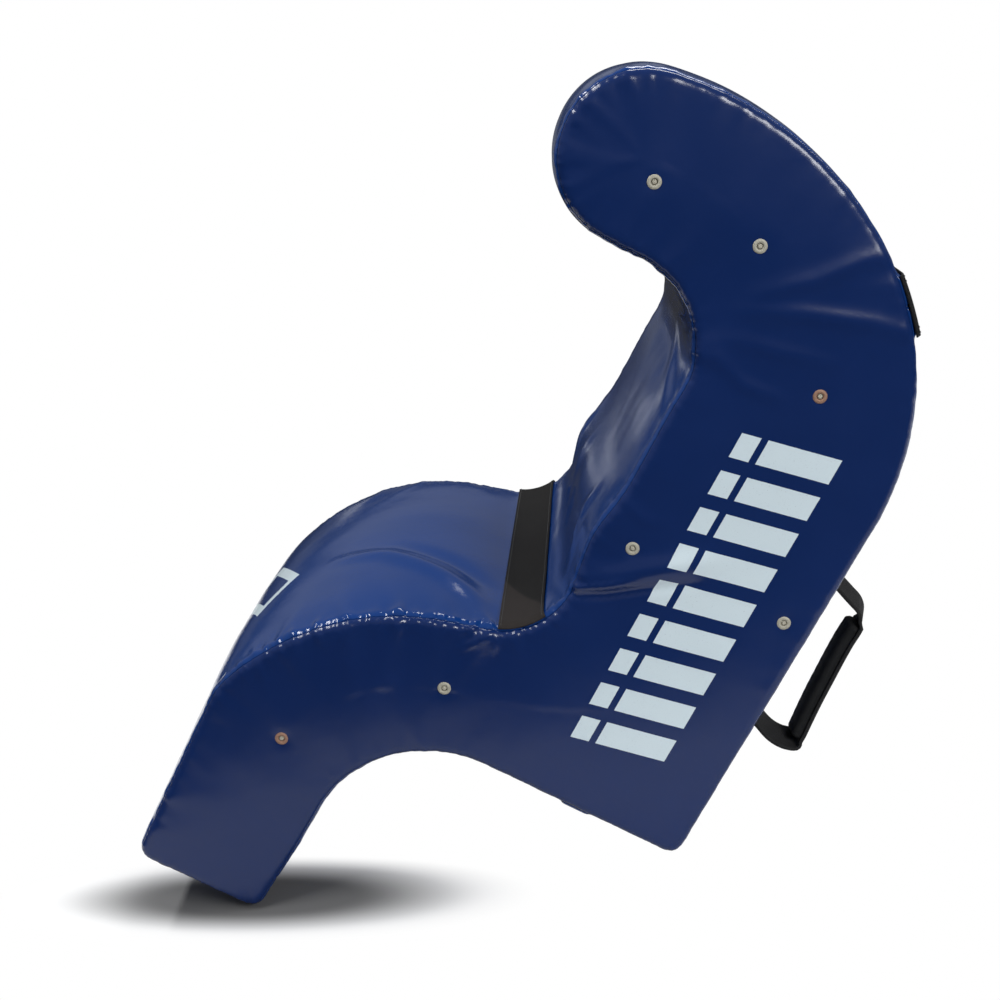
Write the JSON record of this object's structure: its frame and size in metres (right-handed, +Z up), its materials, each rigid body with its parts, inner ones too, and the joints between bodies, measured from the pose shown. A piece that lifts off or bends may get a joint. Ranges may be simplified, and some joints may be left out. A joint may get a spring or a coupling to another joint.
{
  "type": "jackal bag",
  "caption": "Hooked foam contact training bag in a sewn glossy cover, with a lap strap, a back band, vent eyelets, a zip under its base and carry handles that swing at its back.",
  "frame": {"origin": "middle of the overall box, at the level of the floor that the heel edge and the base edge stand on", "axes": "+Z up, +X from the foot towards the back, Y across the width, with the side that the picture shows at -Y"},
  "size_m": [0.8874, 0.5352, 0.8103],
  "materials": {
    "pvc_blue": "gloss",
    "pvc_side_blue": "gloss",
    "foam_cream": "matte",
    "webbing_black": "matte",
    "grip_black": "matte",
    "eyelet_brass": "satin",
    "zip_tape": "matte",
    "zip_coil": "satin",
    "zip_metal": "satin"
  },
  "bodies": {
    "root": {"foam_head": "foam_cream", "foam_torso": "foam_cream", "foam_leg": "foam_cream", "side_panel_near": "pvc_side_blue", "side_panel_far": "pvc_side_blue", "gusset_head": "pvc_blue", "gusset_thigh": "pvc_blue", "gusset_foot": "pvc_blue", "gusset_arch": "pvc_blue", "gusset_back": "pvc_blue", "lap_strap": "webbing_black", "back_band": "webbing_black", "eyelet_near_nose": "eyelet_brass", "eyelet_near_crown": "eyelet_brass", "eyelet_near_shoulder": "eyelet_brass", "eyelet_near_chest": "eyelet_brass", "eyelet_near_back": "eyelet_brass", "eyelet_near_thigh": "eyelet_brass", "eyelet_near_shin": "eyelet_brass", "eyelet_far_nose": "eyelet_brass", "eyelet_far_crown": "eyelet_brass", "eyelet_far_shoulder": "eyelet_brass", "eyelet_far_chest": "eyelet_brass", "eyelet_far_back": "eyelet_brass", "eyelet_far_thigh": "eyelet_brass", "eyelet_far_shin": "eyelet_brass", "handle_near_anchor_upper": "webbing_black", "handle_near_anchor_lower": "webbing_black", "handle_far_anchor_upper": "webbing_black", "handle_far_anchor_lower": "webbing_black", "zip_tape_front": "zip_tape", "zip_tape_rear": "zip_tape", "zip_coil_front": "zip_coil", "zip_coil_rear": "zip_coil", "zip_stop_near": "zip_metal", "zip_stop_far": "zip_metal"},
    "handle_near": {"handle_near_webbing": "webbing_black", "handle_near_grip": "grip_black"},
    "handle_far": {"handle_far_webbing": "webbing_black", "handle_far_grip": "grip_black"},
    "zip_slider": {"zip_slider": "zip_metal"},
    "zip_pull": {"zip_pull": "zip_metal"}
  },
  "joints": [
    {"name": "handle_near_swing", "type": "hinge", "parent": "root", "child": "handle_near", "pos_m": [0.24177, -0.16, 0.11407], "axis": [0.5926, 0, 0.8055], "range_deg": [-65, 65]},
    {"name": "handle_far_swing", "type": "hinge", "parent": "root", "child": "handle_far", "pos_m": [0.24177, 0.16, 0.11407], "axis": [0.5926, 0, 0.8055], "range_deg": [-65, 65]},
    {"name": "zip_slide", "type": "slide", "parent": "root", "child": "zip_slider", "axis": [0, 1, 0], "range_m": [-0.3782, 0]},
    {"name": "zip_pull_swing", "type": "hinge", "parent": "zip_slider", "child": "zip_pull", "pos_m": [0.03435, 0.1891, 0.06339], "axis": [0.8055, 0, -0.5926], "range_deg": [-85, 85]}
  ]
}
